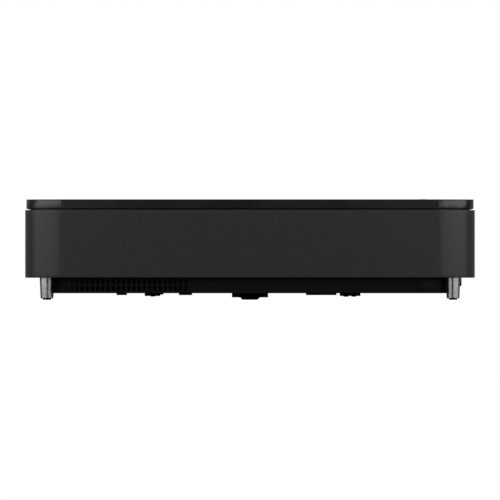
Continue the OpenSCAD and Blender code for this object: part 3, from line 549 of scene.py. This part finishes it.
def window_gasket():
    """Rubber bead over the glass's edges, with three steel clips on each long edge."""
    half, length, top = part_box("window_glass")[1].x, GLASS_LENGTH, GLASS_THICK
    bead, rise = 4 * MM, 1.0 * MM
    clip = Vector((8 * MM, 5.5 * MM, 0.6 * MM))
    turn = glass_turn()
    shape = Shape()
    for y in (0, length - bead):
        shape.box((-half, y, top), (half, y + bead, top + rise), RUBBER, 0.4 * MM, turn)
    for x in (-half, half - bead):
        shape.box((x, bead, top), (x + bead, length - bead, top + rise), RUBBER, 0.4 * MM, turn)
    for x in (-half + 12 * MM, -4 * MM, half - 20 * MM):
        for y in (-1.2 * MM, length - bead - 0.5 * MM):
            shape.box((x, y, top + rise), (x + clip.x, y + clip.y, top + rise + clip.z), SCREW,
                      0.2 * MM, turn)
    shape.finish("window_gasket")


def recess_ridges():
    """Low ridges across the ramp behind the glass, which keep stray light down."""
    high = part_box("window_tub")[1]
    half = high.x - 3 * MM
    start, end = RAMP_LOW, Vector((0, high.y - 4 * MM, RAMP_TOP))
    count, rise, sink = 22, 0.5 * MM, 0.3 * MM
    along = (end - start) / count
    up = Vector((0, -along.z, along.y)).normalized()
    section = []
    for i in range(count):
        for share, lift in ((0, 0), (0.35, rise), (0.65, rise)):
            section.append(start + along * (i + share) + up * lift)
    section.append(end)
    section += [p - up * sink for p in (end, start)]
    n = len(section)
    vertices = [(x, p.y, p.z) for x in (-half, half) for p in section]
    faces = [(i, (i + 1) % n, n + (i + 1) % n, n + i) for i in range(n)]
    faces += [tuple(reversed(range(n))), tuple(range(n, 2 * n))]
    mesh_object("recess_ridges", vertices, faces, RECESS, smooth=False)


def lid_trims():
    """Bright rings round the two sensor windows and the button's well."""
    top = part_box("top_plate")[1].z
    shape = Shape()
    low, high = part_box("presence_sensors")
    radius = (high.y - low.y) / 2
    for x in (low.x + radius, high.x - radius):
        shape.ring(radius + 0.15 * MM, radius + 0.9 * MM, top - 0.4 * MM, top + 0.15 * MM,
                   (x, (low.y + high.y) / 2, 0), "Z", TRIM)
    low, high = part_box("power_button")
    middle = (low + high) / 2
    shape.ring(BUTTON_RADIUS + 0.35 * MM, BUTTON_RADIUS + 1.0 * MM, top - 0.4 * MM, top + 0.12 * MM,
               (middle.x, middle.y, 0), "Z", TRIM)
    shape.finish("lid_trims")


def button_cap():
    """Dished top of the power button, with a fine ring cut in it."""
    low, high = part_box("power_button")
    middle = (low + high) / 2
    radius, top, steps = BUTTON_RADIUS, high.z, 6
    dish = [(0.0, top - 0.3 * MM)]
    dish += [(radius * 0.62 * i / steps, top - 0.3 * MM + 0.25 * MM * (i / steps) ** 2)
             for i in range(1, steps + 1)]
    dish += [(radius * 0.66, top - 0.2 * MM), (radius * 0.7, top - 0.05 * MM), (radius * 0.9, top),
             (radius - 0.05 * MM, top - 0.3 * MM), (radius, top - 0.9 * MM), (0.0, top - 0.9 * MM)]
    shape = Shape()
    shape.turned(dish, (middle.x, middle.y, 0), "Z", BUTTON)
    shape.finish("button_cap", "power_button")


# ---------------------------------------------------------------- sockets and vents

def hdmi_tongues():
    """A tongue with its two rows of contacts in each video socket, and the lips of the shell."""
    low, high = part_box("hdmi_sockets")
    half, thick, pitch = 5.6 * MM, 0.5 * MM, 1.0 * MM
    contact, lip = Vector((0.2 * MM, 2 * MM, 0.05 * MM)), 0.8 * MM
    z = (low.z + high.z) / 2 + 0.3 * MM
    shape = Shape()
    for x in spread(low.x, high.x, 15 * MM, 3):
        shape.box((x - half, low.y + 1.2 * MM, z - thick), (x + half, high.y - 1.4 * MM, z + thick),
                  SOCKET_BLACK, 0.2 * MM)
        for side, count in ((1, 10), (-1, 9)):
            face = z + side * thick
            for i in range(count):
                cx = x + (i - (count - 1) / 2) * pitch
                shape.box((cx - contact.x, low.y + contact.y, face - contact.z),
                          (cx + contact.x, high.y - contact.y, face + contact.z), PINS, 0.0)
        for z0, z1 in ((low.z - lip, low.z), (high.z, high.z + lip * 0.25)):
            shape.box((x - 6 * MM, high.y - 0.5 * MM, z0), (x + 6 * MM, high.y + 0.1 * MM, z1),
                      STEEL, 0.1 * MM)
    shape.finish("hdmi_tongues")


def usb_tongues():
    """A tongue with four contacts in each data socket, and two springs in its floor."""
    low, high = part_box("usb_sockets")
    half, pitch, spring = 5.4 * MM, 2.4 * MM, 3.4 * MM
    z0, z1 = high.z - 2.9 * MM, high.z - 1.2 * MM
    shape = Shape()
    for x in spread(low.x, high.x, 13.6 * MM, 2):
        shape.box((x - half, low.y + 1.2 * MM, z0), (x + half, high.y - 1.2 * MM, z1),
                  SOCKET_WHITE, 0.25 * MM)
        for i in range(4):
            cx = x + (i - 1.5) * pitch
            shape.box((cx - 0.6 * MM, low.y + 3 * MM, z0 - 0.08 * MM),
                      (cx + 0.6 * MM, high.y - 2 * MM, z0), PINS, 0.0)
        for cx in (x - spring, x + spring):
            shape.box((cx - 0.9 * MM, high.y - 7 * MM, low.z + 0.5 * MM),
                      (cx + 0.9 * MM, high.y - 1 * MM, low.z + 0.8 * MM), STEEL, 0.1 * MM)
    shape.finish("usb_tongues")


def audio_details():
    """Shutter of the optical socket, and the plated ring of the audio jack."""
    low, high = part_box("audio_sockets")
    shape = Shape()
    optical, middle, half = high.x - 5.5 * MM, low.z + 5.5 * MM, 3.6 * MM
    shape.box((optical - half, high.y - 6 * MM, middle - half),
              (optical + half, high.y - 5.2 * MM, middle + half), SOCKET_BLACK, 0.3 * MM)
    shape.ring(0.6 * MM, 1.3 * MM, high.y - 5.6 * MM, high.y - 4.9 * MM, (optical, 0, middle), "Y",
               SENSOR_LENS, 24)
    jack = (low.x + 5 * MM, 0, low.z + 5 * MM)
    shape.ring(1.85 * MM, 3.1 * MM, high.y - 0.3 * MM, high.y + 0.5 * MM, jack, "Y", PINS)
    shape.ring(3.3 * MM, 4.2 * MM, high.y - 0.3 * MM, high.y + 0.2 * MM, jack, "Y", SOCKET_BLACK)
    shape.finish("audio_details")


def inlet_bezel():
    """Raised rim of the mains inlet."""
    low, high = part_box("ac_inlet")
    shape = Shape()
    rim, proud = 2.2 * MM, 0.6 * MM
    y0, y1 = high.y - 1 * MM, high.y + proud
    for z0, z1 in ((low.z, low.z + rim), (high.z - rim, high.z)):
        shape.box((low.x, y0, z0), (high.x, y1, z1), SOCKET_BLACK, 0.4 * MM)
    for x0, x1 in ((low.x, low.x + rim), (high.x - rim, high.x)):
        shape.box((x0, y0, low.z + rim * 0.8), (x1, y1, high.z - rim * 0.8), SOCKET_BLACK, 0.4 * MM)
    shape.finish("inlet_bezel")


def screen(name, low, high, across, pitch, wire, material):
    """Woven wire screen in the plane whose thin direction is across (0 for X, 1 for Y)."""
    shape = Shape()
    long_axis = 1 - across
    for axis in (long_axis, 2):
        other = 2 if axis == long_axis else long_axis
        count = int((high[other] - low[other]) / pitch)
        for i in range(count + 1):
            a, b = list(low), list(high)
            a[other] = low[other] + pitch * i - wire / 2
            b[other] = a[other] + wire
            shift = wire * 0.35 if axis == 2 else -wire * 0.35
            middle = (low[across] + high[across]) / 2 + shift
            a[across], b[across] = middle - wire / 2, middle + wire / 2
            shape.box(a, b, material, wire * 0.2)
    shape.finish(name)


def vent_screens():
    """Wire screens behind the slots of the left side panel and of the rear panel."""
    wall, near, far, pitch, wire = 2.5 * MM, 0.2 * MM, 1.2 * MM, 3 * MM, 0.45 * MM
    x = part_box("left_side_panel")[0].x + wall
    screen("exhaust_screen", (x + near, -88 * MM, 44 * MM), (x + far, 88 * MM, 126 * MM), 0,
           pitch, wire, SCREW)
    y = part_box("rear_panel")[1].y - wall
    screen("rear_screen", (-266 * MM, y - far, 58 * MM), (-186 * MM, y - near, 126 * MM), 1,
           pitch, wire, SCREW)


def filter_grip():
    """Rounded grip moulded over the filter's finger tab."""
    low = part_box("filter_cover")[0]
    half, skin, top = 29.2 * MM / 2, 0.15 * MM, 34 * MM
    face = low.x + 5.9 * MM
    shape = Shape()
    shape.box((low.x - skin, -half - skin, low.z - skin), (face + skin, half + skin, top),
              BUTTON, 1.6 * MM)
    for i in range(5):
        y = (i - 2) * 4.5 * MM
        shape.box((face - 0.2 * MM, y - 0.7 * MM, low.z + 2 * MM),
                  (face + 0.55 * MM, y + 0.7 * MM, top - 2 * MM), BUTTON, 0.3 * MM)
    shape.finish("filter_grip", "filter_unit")


# ---------------------------------------------------------------- fastenings

def screw_washers_and_painted_crosses():
    """Washers of the screws under the tray, and a thin black cross standing on each head: painted shade in
    place of a cross recess.
    """
    head_z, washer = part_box("case_screws")[0].z, 0.25 * MM
    shape = Shape()
    for x, y in SCREW_PLACES:
        shape.ring(2.2 * MM, 3.3 * MM, 0, washer, (x, y, head_z - washer), "Z", SCREW, 32, 0.08 * MM)
        # painted shade: a black cross, a little proud of the head, stands for the dark of the cross recess
        for angle in (45, 135):
            spin = Matrix.Translation((x, y, head_z)) @ Matrix.Rotation(math.radians(angle), 4, "Z")
            shape.box((-1.5 * MM, -0.3 * MM, -0.12 * MM), (1.5 * MM, 0.3 * MM, 0.02 * MM),
                      SOCKET_BLACK, 0.05 * MM, spin)
    shape.finish("screw_washers_and_painted_crosses")


# ---------------------------------------------------------------- fans, speakers and boards

def fan_guard(name, x, y, z):
    """Wire finger guard: rings on a cross."""
    shape = Shape()
    wire, reach = 0.8 * MM, 44 * MM
    for radius in (14 * MM, 22 * MM, 30 * MM, 38 * MM):
        circle = [(radius + wire / 2 * math.cos(a), wire / 2 * math.sin(a))
                  for a in (math.radians(45 * i) for i in range(8))]
        shape.turned(circle, (x, y, z), "X", STEEL, 48, closed=True)
    for angle in (45, 135):
        spin = Matrix.Translation((x + wire * 0.6, y, z)) @ Matrix.Rotation(math.radians(angle), 4, "X")
        shape.box((-wire / 2, -reach, -wire / 2), (wire / 2, reach, wire / 2), STEEL, 0.2 * MM, spin)
    shape.finish(name)


def fan_guards():
    """A guard on the outer face of each of the three fan frames."""
    gap = 1.2 * MM
    low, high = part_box("exhaust_fan_frames")
    z = (low.z + high.z) / 2
    side = high.z - low.z
    for tag, y in (("front", low.y + side / 2), ("rear", high.y - side / 2)):
        fan_guard(f"exhaust_guard_{tag}", low.x - gap, y, z)
    low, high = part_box("intake_fan_frame")
    fan_guard("intake_guard", high.x + gap, (low.y + high.y) / 2, z)


def rotor_caps():
    """Motor cap with a raised ring on each rotor's hub; each rotor's body has its node's name."""
    cap = [(0, 0.6 * MM), (8 * MM, 0.5 * MM), (9 * MM, 0.2 * MM), (11 * MM, 0.2 * MM),
           (11.5 * MM, 0.7 * MM), (13.5 * MM, 0.7 * MM), (14.6 * MM, 0), (14.6 * MM, -0.3 * MM),
           (0, -0.3 * MM)]
    for node in ("exhaust_rotor_front", "exhaust_rotor_rear", "intake_rotor"):
        low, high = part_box(node)
        middle = (low + high) / 2
        shape = Shape()
        shape.turned(cap, (high.x, middle.y, middle.z), "X", FAN)
        shape.finish(f"{node}_cap", node)


def speaker_surrounds():
    """Rubber half-roll and dust cap of each driver."""
    roll_in, roll_out, glue = 27.4 * MM, 30 * MM, 0.4 * MM
    for node, body in (("speaker_cone_left", "cone_left"), ("speaker_cone_right", "cone_right"),
                       ("woofer_cone", "cone_middle")):
        low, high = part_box(node)
        middle = (low + high) / 2
        front = low.y
        roll = [(roll_in + 1.5 * MM * (1 - math.cos(a)), front - 1.3 * MM * math.sin(a))
                for a in (math.radians(15 * i) for i in range(13))]
        shape = Shape()
        shape.turned(roll + [(roll_out, front + glue), (roll_in, front + glue)],
                     (middle.x, 0, middle.z), "Y", RUBBER, 64, closed=True)
        cap = [(10.5 * MM * math.sin(a), front + 7.2 * MM - 3.4 * MM * (math.cos(a) - 0.5))
               for a in (math.radians(10 * i) for i in range(1, 8))]
        back = [(9.9 * MM, front + 8.4 * MM), (0, front + 8.2 * MM)]
        shape.turned([(0, front + 5.5 * MM)] + cap + back, (middle.x, 0, middle.z), "Y", CONE, 48)
        shape.finish(f"{node}_surround", body)


def chip(shape, x, y, z, w, d, legs):
    """Flat chip with a row of legs on two sides."""
    shape.box((x - w / 2, y - d / 2, z + 0.2 * MM), (x + w / 2, y + d / 2, z + 1.8 * MM),
              CHIP, 0.15 * MM)
    for i in range(legs):
        lx = x + (i - (legs - 1) / 2) * (w - 1 * MM) / max(1, legs - 1)
        for side in (-1, 1):
            y0, y1 = sorted((y + side * d / 2, y + side * (d / 2 + 1.2 * MM)))
            shape.box((lx - 0.2 * MM, y0, z), (lx + 0.2 * MM, y1, z + 0.6 * MM), STEEL, 0.0)


def can(shape, x, y, z, radius, height):
    """Electrolytic capacitor: sleeve with a neck, and a bare top a little below its rim."""
    crimp, dip, steps = 0.4 * MM, 0.15 * MM, 28
    shape.turned([(radius, 0), (radius, 0.6 * MM), (radius * 0.93, 1.0 * MM), (radius, 1.5 * MM),
                  (radius, height - crimp), (radius - crimp, height)], (x, y, z), "Z", SLEEVE, steps)
    shape.turned([(radius - crimp, height), (radius * 0.55, height - dip), (0, height - dip)],
                 (x, y, z), "Z", SHEET_ALU, steps)


def main_board_parts():
    """Chips, capacitors and white headers on the main board."""
    low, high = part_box("main_board")
    top = MAIN_BOARD_TOP
    shape = Shape()
    for i in range(4):
        chip(shape, low.x + (26 + 18 * i) * MM, low.y + 18 * MM, top, 11 * MM, 8 * MM, 8)
    for i in range(3):
        chip(shape, high.x - (22 + 15 * i) * MM, low.y + 52 * MM, top, 8 * MM, 6 * MM, 6)
    for i in range(6):
        can(shape, high.x - 12 * MM, low.y + (10 + 11 * i) * MM, top, 4 * MM, 9 * MM)
    for i in range(3):
        x = low.x + (20 + 42 * i) * MM
        shape.box((x, low.y + 2 * MM, top), (x + 22 * MM, low.y + 8 * MM, top + 6 * MM),
                  SOCKET_WHITE, 0.3 * MM)
        for k in range(9):
            px = x + (2.5 + 2.1 * k) * MM
            shape.box((px, low.y + 4 * MM, top + 5.8 * MM),
                      (px + 0.6 * MM, low.y + 6 * MM, top + 6.4 * MM), PINS, 0.0)
    shape.finish("main_board_parts")


def power_board_parts():
    """Capacitors and a finned heat sink on the power board."""
    low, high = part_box("power_board")
    top = POWER_BOARD_TOP
    shape = Shape()
    for i in range(3):
        can(shape, low.x + (62 + 13 * i) * MM, low.y + 12 * MM, top, 5 * MM, 16 * MM)
    for i in range(5):
        fin_x = low.x + (60 + 4 * i) * MM
        shape.box((fin_x, low.y + 30 * MM, top), (fin_x + 1.2 * MM, high.y - 6 * MM, top + 26 * MM),
                  SHEET_ALU, 0.2 * MM)
    shape.box((low.x + 59 * MM, low.y + 33 * MM, top),
              (low.x + 78 * MM, low.y + 36 * MM, top + 20 * MM), SHEET_ALU, 0.2 * MM)
    shape.finish("power_board_parts")


def optics_details():
    """Retaining rings and a knurl on the lens barrel, and the clips that hold the mirror."""
    low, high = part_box("lens_barrel")
    axis = Vector((0, 0, (low.z + high.z) / 2))
    knurl = Matrix.Translation(axis + Vector((0, low.y + 5 * MM, 0)))
    shape = Shape()
    for y in (low.y + 1.5 * MM, low.y + 16 * MM):
        shape.ring(22.5 * MM, 25.9 * MM, y, y + 2 * MM, axis, "Y", ENGINE, 64, 0.3 * MM)
    for i in range(36):
        spin = knurl @ Matrix.Rotation(math.radians(10 * i), 4, "Y")
        shape.box((32.8 * MM, -4 * MM, -0.8 * MM), (33.5 * MM, 4 * MM, 0.8 * MM), ENGINE, 0.3 * MM, spin)
    low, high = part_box("mirror")
    wide = 8 * MM
    for x in (low.x + 10 * MM, high.x - 10 * MM - wide):
        end = (x + wide, low.y + 9 * MM, high.z + 1.3 * MM)
        shape.box((x, low.y - 3 * MM, high.z + 0.1 * MM), end, STEEL, 0.3 * MM)
        shape.box((x, low.y + 8 * MM, high.z - 5 * MM), end, STEEL, 0.3 * MM)
    shape.finish("optics_details")


def make_details():
    window_gasket()
    recess_ridges()
    lid_trims()
    button_cap()
    hdmi_tongues()
    usb_tongues()
    audio_details()
    inlet_bezel()
    vent_screens()
    filter_grip()
    screw_washers_and_painted_crosses()
    fan_guards()
    rotor_caps()
    speaker_surrounds()
    main_board_parts()
    power_board_parts()
    optics_details()


# ---------------------------------------------------------------- light

SOFTBOX_NEAR = Vector((0.53, -1.95, 0))    # plan of the right softbox, from its front end
SOFTBOX_FAR = Vector((2.0, 0.1, 0))        # to its rear end
SOFTBOX_HEIGHT = 1.2
ROOM_LEVEL = 0.015                         # least radiance of the room
FLOOR_RADIUS = 6
FLOOR_DROP = 0.2 * MM                      # keeps the floor clear of the pads

def area_light(name, place, target, size, power):
    data = bpy.data.lights.new(name, "AREA")
    data.shape, data.size, data.size_y, data.energy = "RECTANGLE", size[0], size[1], power
    light = bpy.data.objects.new(name, data)
    light.location = place
    aim = Vector(target) - Vector(place)
    light.rotation_euler = aim.to_track_quat("-Z", "Y").to_euler()
    light.visible_camera = False
    bpy.context.scene.collection.objects.link(light)


def make_world():
    """White to the camera; for light and reflections a dim room, paler behind the object and above it."""
    world = bpy.data.worlds.new("studio")
    bpy.context.scene.world = world
    world.use_nodes = True
    tree = Tree(world.node_tree)
    out = world.node_tree.nodes["World Output"]
    split = tree.add("SeparateXYZ", {"Vector": tree.add("TexCoord").outputs["Generated"]})
    behind = tree.remap(split.outputs[1], 0.45, 0.85)
    above = tree.remap(split.outputs[2], 0.3, 0.95)
    level = tree.math("ADD", tree.math("MULTIPLY", behind, 0.25), tree.math("MULTIPLY", above, 0.25))
    level = tree.math("MULTIPLY", tree.math("ADD", level, ROOM_LEVEL),
                      tree.remap(split.outputs[2], -0.35, 0.0, 0.25, 1.0))
    seen = tree.add("Background", {"Color": rgb(1.0), "Strength": 1.0})
    lit = tree.add("Background", {"Color": rgb(1.0), "Strength": level})
    pick = tree.add("MixShader", {0: tree.add("LightPath").outputs["Is Camera Ray"],
                                  1: lit.outputs[0], 2: seen.outputs[0]})
    tree.put(out.inputs["Surface"], pick.outputs[0])


def make_floor():
    """Pale floor with a painted glow, a little over half strength near the middle and full strength beyond
    1.6 m, so that it fades into the white round it.
    """
    bpy.ops.mesh.primitive_circle_add(vertices=96, radius=FLOOR_RADIUS, fill_type="NGON",
                                      location=(0, 0, -FLOOR_DROP))
    floor = bpy.context.object
    floor.name = "floor"
    material = bpy.data.materials.new("pale_floor")
    material.use_nodes = True
    tree = Tree(material.node_tree)
    shader = material.node_tree.nodes["Principled BSDF"]
    place = tree.add("TexCoord").outputs["Object"]
    away = tree.add("VectorMath", {0: place}, operation="LENGTH").outputs["Value"]
    # painted glow: the floor's own light, 0.55 within half a metre of the middle, rising to 1.0 beyond 1.6
    # m
    painted_glow = tree.remap(away, 0.5, 1.6, 0.55, 1.0)
    shader.inputs["Base Color"].default_value = rgb(0.82)
    shader.inputs["Roughness"].default_value = 0.9
    shader.inputs["Specular IOR Level"].default_value = 0.0
    shader.inputs["Emission Color"].default_value = rgb(1.0)
    tree.put(shader.inputs["Emission Strength"], painted_glow)
    floor.data.materials.append(material)
    floor.visible_diffuse = False
    floor.visible_glossy = False
    floor.visible_transmission = False


def make_lights():
    """A long softbox on each side, from beside the camera round to the object's side, and one overhead."""
    length, height = (SOFTBOX_FAR - SOFTBOX_NEAR).length, SOFTBOX_HEIGHT
    middle = (SOFTBOX_NEAR + SOFTBOX_FAR) / 2
    for side in (-1, 1):
        area_light(f"softbox_{side}", (side * middle.x, middle.y, height / 2), (0, 0, height / 2),
                   (length, height), SOFTBOX * math.pi * length * height)
    area_light("overhead", (0, 0.2, 2.2), (0, 0, 0), (2.2, 1.6), 8)
    area_light("rear_fill", (0, 1.9, 1.3), (0, 0, 0.08), (3.6, 1.2), 30)


# ---------------------------------------------------------------- build

make_camera()
dress_nodes()
soften()
cloth_cover()
make_details()
make_world()
make_floor()
make_lights()
bpy.context.scene.view_settings.view_transform = "Standard"
